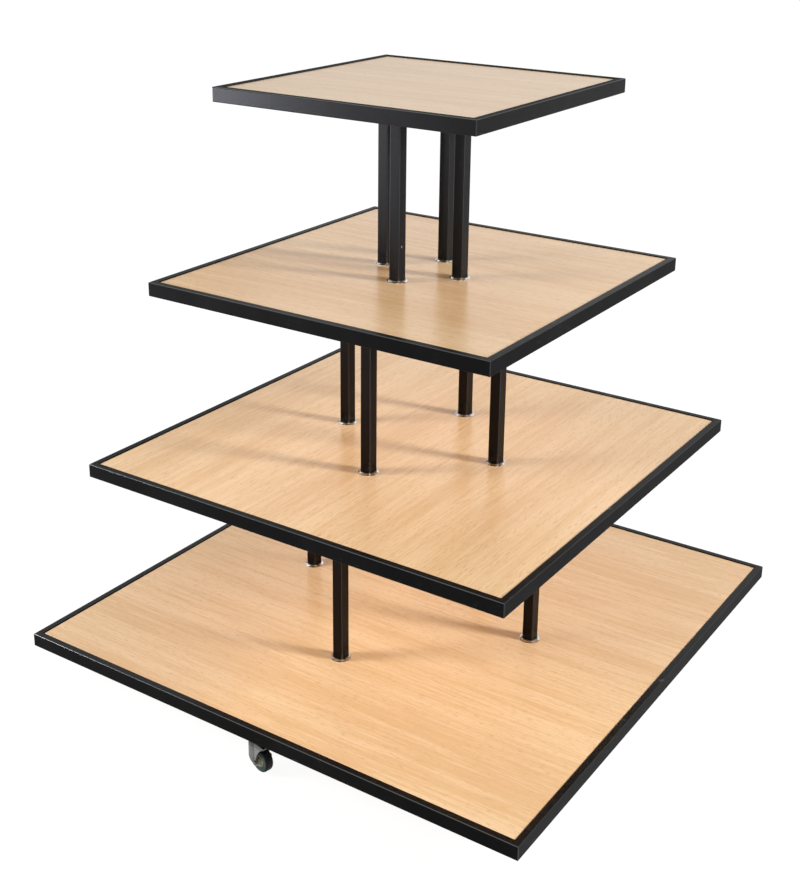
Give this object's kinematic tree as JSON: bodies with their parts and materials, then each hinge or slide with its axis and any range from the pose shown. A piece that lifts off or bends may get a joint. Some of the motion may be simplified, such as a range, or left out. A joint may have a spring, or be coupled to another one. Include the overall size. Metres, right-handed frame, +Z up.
{
  "type": "tiered display stand",
  "caption": "Square tiered shop display stand: wood-look boards in black tube rims, stacked on slim square legs with clear feet, rolling on swivel castors under the base.",
  "frame": {"origin": "on the floor, under the centre of the square tiers", "axes": "+Z up; -Y out of the front side, which is the picture's left-hand near side; +X out of the right side"},
  "size_m": [1.2, 1.2, 1.281],
  "materials": {
    "beech_laminate": "satin",
    "black_coat": "satin powder coat",
    "clear_plastic": "clear",
    "zinc_steel": "zinc plated",
    "axle_steel": "dull",
    "ball_steel": "polished",
    "cream_plastic": "moulded",
    "tyre_rubber": "matt"
  },
  "bodies": {
    "stand": {"top_board": "beech_laminate", "top_cross_bars": "black_coat", "top_rim_front": "black_coat", "top_rim_right": "black_coat", "top_rim_back": "black_coat", "top_rim_left": "black_coat", "upper_board": "beech_laminate", "upper_cross_bars": "black_coat", "upper_rim_front": "black_coat", "upper_rim_right": "black_coat", "upper_rim_back": "black_coat", "upper_rim_left": "black_coat", "lower_board": "beech_laminate", "lower_cross_bars": "black_coat", "lower_rim_front": "black_coat", "lower_rim_right": "black_coat", "lower_rim_back": "black_coat", "lower_rim_left": "black_coat", "base_board": "beech_laminate", "base_cross_bars": "black_coat", "base_rim_front": "black_coat", "base_rim_right": "black_coat", "base_rim_back": "black_coat", "base_rim_left": "black_coat", "corner_plates": "black_coat", "top_leg_front": "black_coat", "top_leg_right": "black_coat", "top_leg_back": "black_coat", "top_leg_left": "black_coat", "upper_leg_front": "black_coat", "upper_leg_right": "black_coat", "upper_leg_back": "black_coat", "upper_leg_left": "black_coat", "lower_leg_front": "black_coat", "lower_leg_right": "black_coat", "lower_leg_back": "black_coat", "lower_leg_left": "black_coat", "leg_caps": "clear_plastic", "leg_bolts": "zinc_steel", "castor_top_plates": "zinc_steel", "castor_kingpins": "zinc_steel", "castor_swivel_balls": "ball_steel", "castor_pads": "black_coat", "castor_bolts": "zinc_steel"},
    "front_castor_swivel_body": {"front_castor_fork": "zinc_steel", "front_castor_axle": "axle_steel"},
    "front_castor_wheel": {"front_castor_hub": "cream_plastic", "front_castor_tyre": "tyre_rubber"},
    "right_castor_swivel_body": {"right_castor_fork": "zinc_steel", "right_castor_axle": "axle_steel"},
    "right_castor_wheel": {"right_castor_hub": "cream_plastic", "right_castor_tyre": "tyre_rubber"},
    "back_castor_swivel_body": {"back_castor_fork": "zinc_steel", "back_castor_axle": "axle_steel"},
    "back_castor_wheel": {"back_castor_hub": "cream_plastic", "back_castor_tyre": "tyre_rubber"},
    "left_castor_swivel_body": {"left_castor_fork": "zinc_steel", "left_castor_axle": "axle_steel"},
    "left_castor_wheel": {"left_castor_hub": "cream_plastic", "left_castor_tyre": "tyre_rubber"}
  },
  "joints": [
    {"name": "front_castor_swivel", "type": "hinge", "parent": "stand", "child": "front_castor_swivel_body", "pos_m": [0, -0.5695, 0.065], "axis": [0, 0, 1], "continuous": true},
    {"name": "front_castor_roll", "type": "hinge", "parent": "front_castor_swivel_body", "child": "front_castor_wheel", "pos_m": [0.01223, -0.5721, 0.025], "axis": [0.2079, 0.9781, 0], "continuous": true},
    {"name": "right_castor_swivel", "type": "hinge", "parent": "stand", "child": "right_castor_swivel_body", "pos_m": [0.552, 0, 0.065], "axis": [0, 0, 1], "continuous": true},
    {"name": "right_castor_roll", "type": "hinge", "parent": "right_castor_swivel_body", "child": "right_castor_wheel", "pos_m": [0.53951, 0.00044, 0.025], "axis": [-0.0349, -0.9994, 0], "continuous": true},
    {"name": "back_castor_swivel", "type": "hinge", "parent": "stand", "child": "back_castor_swivel_body", "pos_m": [0, 0.5695, 0.065], "axis": [0, 0, 1], "continuous": true},
    {"name": "back_castor_roll", "type": "hinge", "parent": "back_castor_swivel_body", "child": "back_castor_wheel", "pos_m": [-0.01024, 0.56233, 0.025], "axis": [0.5736, -0.8192, 0], "continuous": true},
    {"name": "left_castor_swivel", "type": "hinge", "parent": "stand", "child": "left_castor_swivel_body", "pos_m": [-0.552, 0, 0.065], "axis": [0, 0, 1], "continuous": true},
    {"name": "left_castor_roll", "type": "hinge", "parent": "left_castor_swivel_body", "child": "left_castor_wheel", "pos_m": [-0.54773, 0.01175, 0.025], "axis": [-0.9397, 0.342, 0], "continuous": true}
  ]
}
